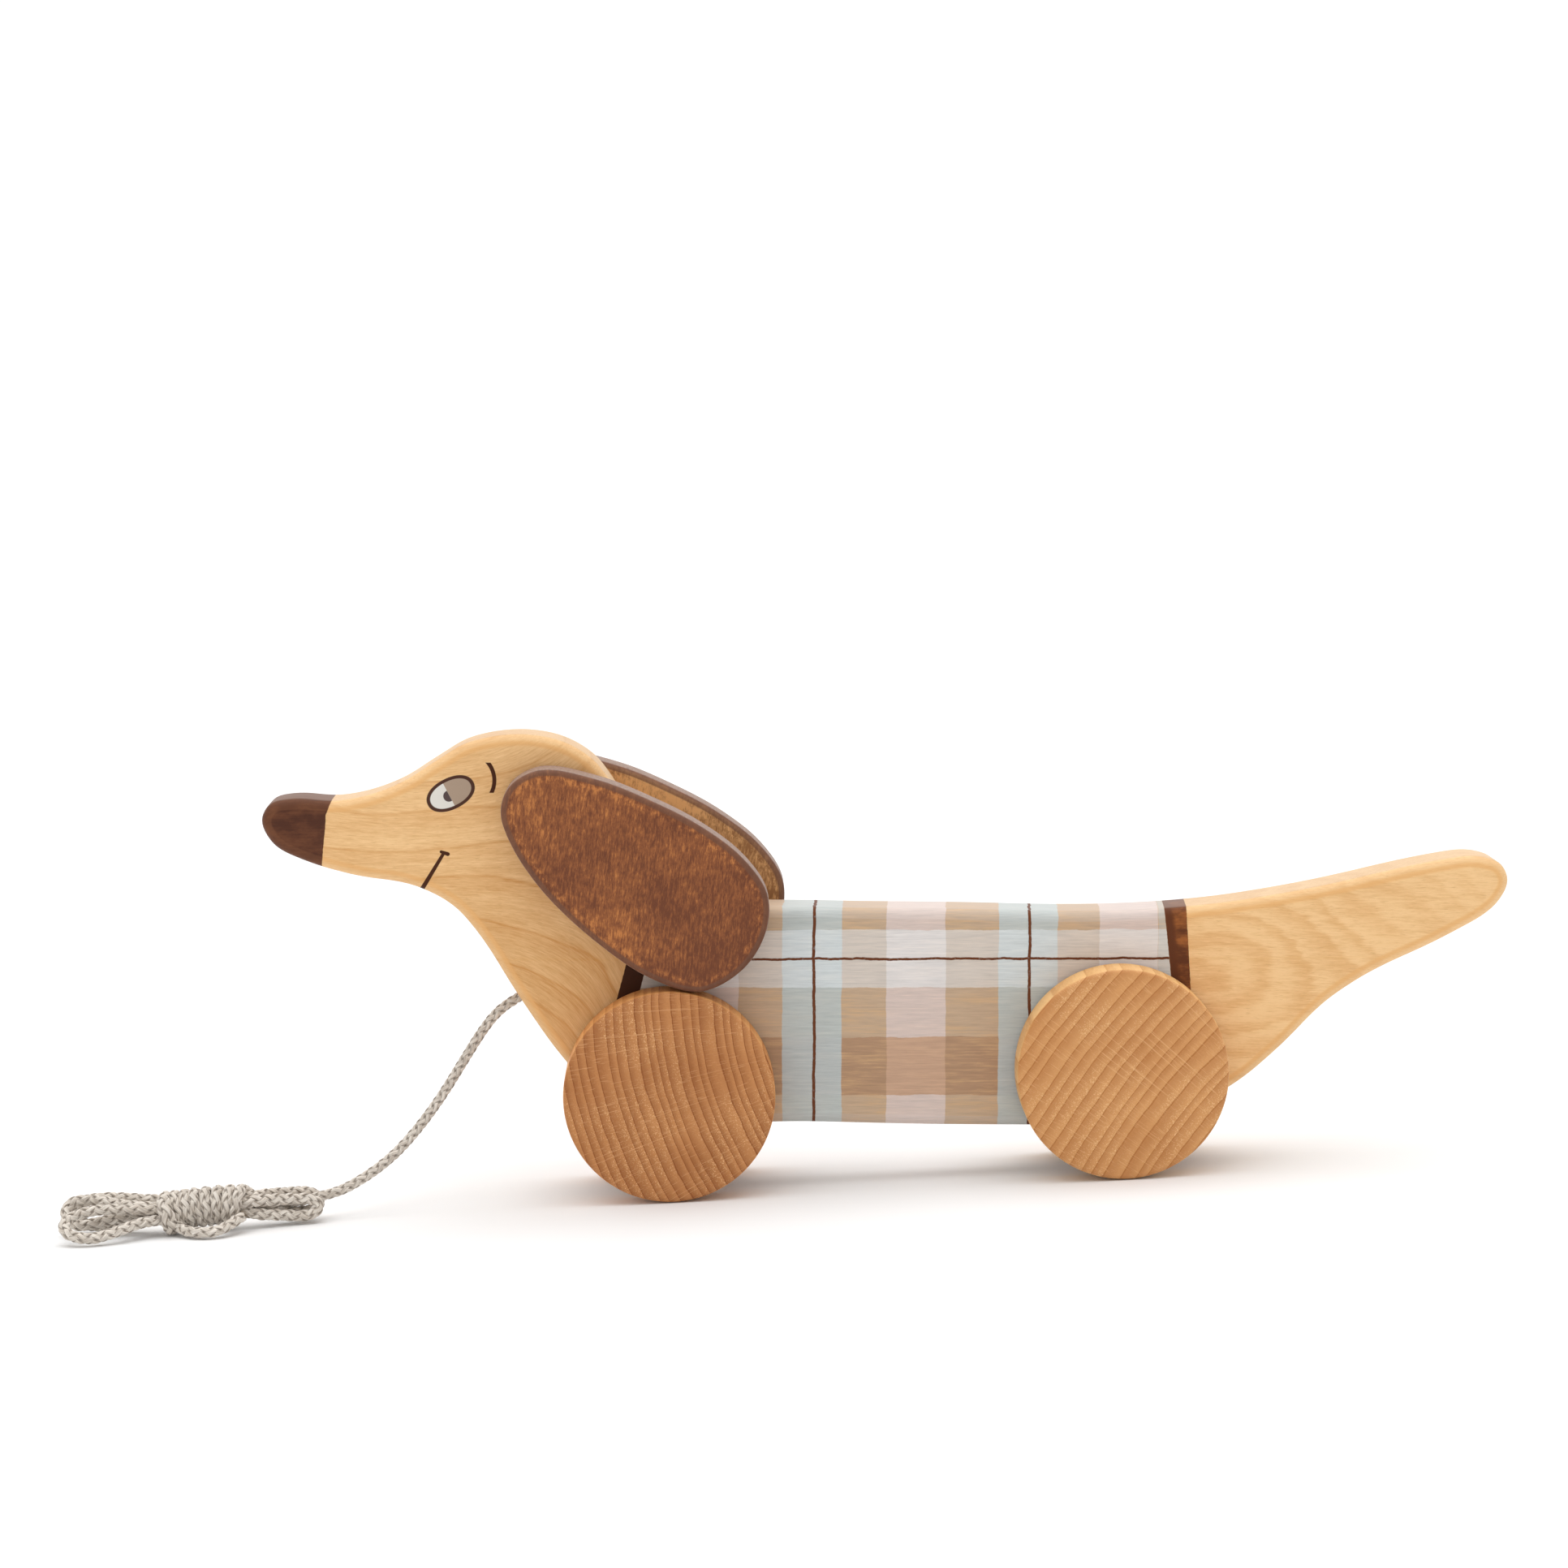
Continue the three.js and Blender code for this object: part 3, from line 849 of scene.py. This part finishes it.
def stained_ear():
    with material("stained_ear") as m:
        x, y, z = position(EAR_PIVOT)
        lean = math.radians(9)
        g = x * math.cos(lean) - z * math.sin(lean)
        a = x * math.sin(lean) + z * math.cos(lean)
        streak = noise(g * 1.25, y * 0.6, a * 0.22, 5.0, 0.72)
        mottle = noise(x * 0.4, y * 0.3, z * 0.34, 4.0, 0.7)
        blot = noise(x * 0.06 + 3, y * 0.05, z * 0.06 + 9, 2.0)
        fine = noise(g * 4.0, y * 2.5, a * 0.7, 2.0)
        reach = inset()
        worn = inside(reach, EAR_EDGE + 0.2, EAR_EDGE + 1.7, 0.9) * ramp(mottle, 0.42, 0.62)
        tone = ((streak - 0.5) * 2.2 + (mottle - 0.5) * 1.3 - (blot - 0.5) * 1.1
                + (fine - 0.5) * 1.0 + worn * 0.4 - ramp(x - z * 0.6, 42.0, 88.0) * 0.4 + 0.46)
        colour = mix(ramp(tone, 0.0, 0.6), srgb(108, 62, 40), srgb(140, 84, 50))
        colour = mix(ramp(tone, 0.5, 1.05), colour, srgb(188, 120, 66))
        depth = calc("ABSOLUTE", y) - BOARD_HALF
        hidden = 1 - ramp(depth, 0.9, 1.6)
        colour = mix(hidden * 0.8, colour, mix(ramp(tone, -0.1, 0.8), srgb(154, 110, 69),
                                               srgb(224, 175, 118)))
        rim = 1 - ramp(reach, EAR_EDGE - 0.45, EAR_EDGE + 0.05)
        colour = mix(rim * 0.8, colour, mix(mottle, srgb(92, 60, 46), srgb(122, 84, 64)))
        # Painted sheen: the side wall is painted pale grey-pink.
        wall = 1 - ramp(reach, 0.0, 0.25)
        colour = mix(wall * 0.85, colour, mix(ramp(streak, 0.32, 0.68), srgb(136, 110, 97),
                                              srgb(172, 147, 133)))
        m.done(colour, 0.55 + (streak - 0.5) * 0.2, fine * 0.5 + streak * 0.5, depth=0.04,
               specular=0.18)
    return m.made


def beech_wheel(name, centre, pith, growth, face_colours, rim_colours):
    """End grain across the wheel's faces: growth rings to the mm round a far pith, each light and
    pored on its inner side and dark at its end, with fine rays across them."""
    with material(name) as m:
        x, y, z = position(centre)
        dx, dz = x - pith[0], z - pith[1]
        reach = calc("SQRT", dx * dx + dz * dz)
        turn = calc("ARCTAN2", dz, dx) * (math.hypot(*pith))
        waver = noise(x * 0.05, 0.0, z * 0.05, 2.0) * 1.6 + noise(x * 0.45, 0.0, z * 0.45) * 0.3
        uneven = noise(reach * 0.12, 5.0, 0.0, 1.0) * 5.4 * growth
        ring = calc("FRACT", (reach + waver) * growth + uneven)
        dark = ramp(ring, 0.12, 0.85) * (1 - ramp(ring, 0.965, 1.0))
        line = inside(ring, 0.9, 0.985, 0.025)
        speck = noise(x * 3.0, y * 3.0, z * 3.0, 2.0, 0.7)
        pored = ramp(noise(x * 0.05 + 4, 2.0, z * 0.05, 1.0), 0.36, 0.6)
        ray = noise(turn * 3.6, y * 0.3, reach * 0.22, 1.0)
        long_ray = noise(turn * 2.6, y * 0.3, reach * 0.02 + 9, 1.0)
        cloud = noise(x * 0.06, 1.0, z * 0.06, 2.0)
        light, deep, glint = (srgb(*c) for c in face_colours)
        tone = dark * 0.4 + line * 0.5 + (cloud - 0.5) * 0.7 + (speck - 0.5) * 0.6 + 0.27
        face = mix(clamped(tone), light, deep)
        face = mix(ramp(speck, 0.53, 0.66) * (1 - dark * 0.8) * pored * 0.8, face, glint)
        rays = ramp(ray, 0.62, 0.7) * 0.35 + ramp(long_ray, 0.68, 0.73) * 0.45
        face = mix(clamped(rays), face, mix(0.5, light, glint))
        side_light, side_deep = (srgb(*c) for c in rim_colours)
        fleck = noise(x * 1.6, y * 0.35, z * 1.6, 3.0)
        side = mix(clamped(dark * 0.55 + line * 0.3 + (fleck - 0.5) * 1.2), side_light, side_deep)
        half = (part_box("wheel_front_left")[1][1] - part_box("wheel_front_left")[0][1]) / 2 / MM
        from_face = half - calc("ABSOLUTE", y)
        colour = mix(ramp(from_face, 0.35, 1.2), face, side)
        m.done(colour, 0.55 + (speck - 0.5) * 0.2, speck * 0.5 + dark * 0.3, depth=0.04,
               specular=0.22)
    return m.made


def plain_dowel():
    with material("dowel_beech") as m:
        x, y, z = position()
        fibre = noise(x * 2.2, y * 0.12, z * 2.2, 4.0, 0.65)
        pores = noise(x * 6.0, y * 0.5, z * 6.0, 1.0)
        colour = mix(ramp(fibre, 0.3, 0.75), srgb(224, 184, 132), srgb(186, 134, 84))
        colour = mix(ramp(pores, 0.62, 0.75) * 0.4, colour, srgb(150, 100, 60))
        m.done(colour, 0.55, fibre, depth=0.05)
    return m.made


def linen(name, pale, grey, brown, brown_share):
    with material(name) as m:
        node = Num.tree.nodes.new("ShaderNodeUVMap")
        node.uv_map = "yarn"
        split = Num.tree.nodes.new("ShaderNodeSeparateXYZ")
        Num.tree.links.new(node.outputs[0], split.inputs[0])
        length, turn = Num(split.outputs[0]), Num(split.outputs[1])
        ply = calc("SINE", turn * math.tau * 3 + length * 1.1)
        x, y, z = position()
        hair = noise(length * 0.35, turn * 26.0, 0.0, 3.0, 0.6)
        shade = noise(length * 0.12, turn * 3.0, 7.0, 2.0)
        bits = noise(x * 0.5, y * 0.5, z * 0.5, 2.0)
        colour = mix(ramp(hair * 0.7 + shade * 0.5, 0.42, 0.78), srgb(*pale), srgb(*grey))
        # Painted shade and highlight: darker and lighter along the twist of the plies.
        colour = scaled(colour, 0.94 + ply * 0.07)
        colour = mix(ramp(bits * 0.5 + hair * 0.5, brown_share, brown_share + 0.16), colour,
                     srgb(*brown))
        # Painted shade: darker in the crevices at each strand's edges.
        crevice_shade = ramp(calc("ABSOLUTE", calc("COSINE", turn * math.tau)), 0.6, 0.98)
        colour = mix(crevice_shade * 0.55, colour, srgb(104, 86, 68))
        m.done(colour, 0.82, ply * 0.3 + hair * 0.8, depth=0.16, specular=0.25, sheen=0.25)
    return m.made


# ---------------------------------------------------------------- building

place_camera()

cord, cord_line = braided_cord()
cord.data.materials.append(
    linen("linen", (240, 232, 221), (194, 182, 168), (158, 128, 96), brown_share=0.6))
cord.data.materials.append(
    linen("linen_end", (218, 194, 156), (180, 146, 102), (144, 100, 58), brown_share=0.5))
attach(cord, "board")
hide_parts("cord_run", "cord_hank")
on_floor([CORD_EXIT])[0]

body_low, body_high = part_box("body")
bores = []
for dowel in DOWELS:
    x, _, z = middle(dowel)
    bores.append((x, z, hole_radius(dowel), body_low[1], body_high[1]))
body = sawn_board("dachshund_body", "body", BOARD_EDGE, bores)
drill(body, *on_floor(CORD_HOLE), CORD_HOLE_RADIUS * MM)
body.data.materials.append(painted_body())
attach(body, "board")
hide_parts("body")

ear_stain = stained_ear()
dowel_low, dowel_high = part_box("ear_dowel")
for node in ("ear_left", "ear_right"):
    low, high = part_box(node)
    far_side = abs(high[1]) > abs(low[1])
    start = low[1] if far_side else high[1]
    end = (dowel_high[1] + BORE_PLAY * MM) if far_side else (dowel_low[1] - BORE_PLAY * MM)
    bore = (EAR_PIVOT[0], EAR_PIVOT[2], hole_radius("ear_dowel"), start, end)
    ear = sawn_board(node + "_board", node, EAR_EDGE, [bore], lips=(LIP, 1.6, 3.6), step=0.8)
    ear.data.materials.append(ear_stain)
    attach(ear, "ears")
    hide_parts(node)

# Where the pith lies from the wheel's middle, rings to the mm, and the colours: light, deep and
# glint on the faces, light and deep on the rim.
WHEELS = {
    # The front colours are darker than the rear ones, partly as painted shade under the ears.
    "front": ((113.0, 27.0), 0.34, ((200, 138, 85), (144, 84, 42), (238, 192, 138)),
              ((226, 164, 100), (190, 120, 64))),
    "rear": ((176.0, -150.0), 0.27, ((217, 160, 103), (178, 116, 64), (242, 200, 148)),
             ((230, 184, 124), (204, 148, 88))),
}
for place, (pith, growth, face_colours, rim_colours) in WHEELS.items():
    for hand in ("left", "right"):
        node = f"wheel_{place}_{hand}"
        wheel = turned_wheel(node + "_turned", node, place + "_axle")
        wheel.data.materials.append(
            beech_wheel(f"beech_{place}_{hand}", middle(node), pith, growth, face_colours,
                        rim_colours))
        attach(wheel, place + "_wheels")
        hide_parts(node)

dowel_wood = plain_dowel()
for dowel in DOWELS:
    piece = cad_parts[dowel]
    if piece.material_slots:
        for slot in piece.material_slots:
            slot.material = dowel_wood
    else:
        piece.data.materials.append(dowel_wood)


# ---------------------------------------------------------------- floor, backdrop and light


def white_floor():
    bm = bmesh.new()
    bm.faces.new([bm.verts.new((x, y, -0.0003))
                  for x, y in ((-30, -12), (30, -12), (30, 90), (-30, 90))])
    floor = make_object("floor", bm)
    with material("pale_floor") as m:
        x, y, z = position()
        grain = noise(x * 0.02, y * 0.02, z * 0.02, 2.0)
        m.done(mix(grain, (0.84, 0.84, 0.84, 1), (0.86, 0.86, 0.86, 1)), 0.9, specular=0.1)
    floor.data.materials.append(m.made)


def lamp(name, place, aim, size, power):
    data = bpy.data.lights.new(name, "AREA")
    data.shape = "RECTANGLE"
    data.size, data.size_y = size
    data.energy = power
    obj = bpy.data.objects.new(name, data)
    bpy.context.scene.collection.objects.link(obj)
    obj.location = place
    aim = Vector(aim) - Vector(place)
    obj.rotation_euler = aim.to_track_quat("-Z", "Y").to_euler()


white_floor()
scene = bpy.context.scene
world = bpy.data.worlds.new("studio")
scene.world = world
world.use_nodes = True
Num.tree = world.node_tree
toward = Num.tree.nodes.new("ShaderNodeTexCoord")
split = Num.tree.nodes.new("ShaderNodeSeparateXYZ")
Num.tree.links.new(toward.outputs["Generated"], split.inputs[0])
away, height = Num(split.outputs[1]), Num(split.outputs[2])
glow = Num.tree.nodes["Background"]
glow.inputs["Color"].default_value = (1, 1, 1, 1)
plug(glow.inputs["Strength"], 0.62 + ramp(away, -0.6, 0.6) * 0.43 + ramp(height, 0.3, 1.0) * 0.2)
Num.tree = None
overhead = bpy.data.lights.new("overhead", "SUN")
overhead.energy = 1.35
overhead.angle = math.radians(70)
scene.collection.objects.link(bpy.data.objects.new("overhead", overhead))
lamp("front_left", (-1.2, -1.6, 1.2), (0.0, 0.0, 0.06), (1.0, 1.0), 2.6)
scene.view_settings.view_transform = "Standard"
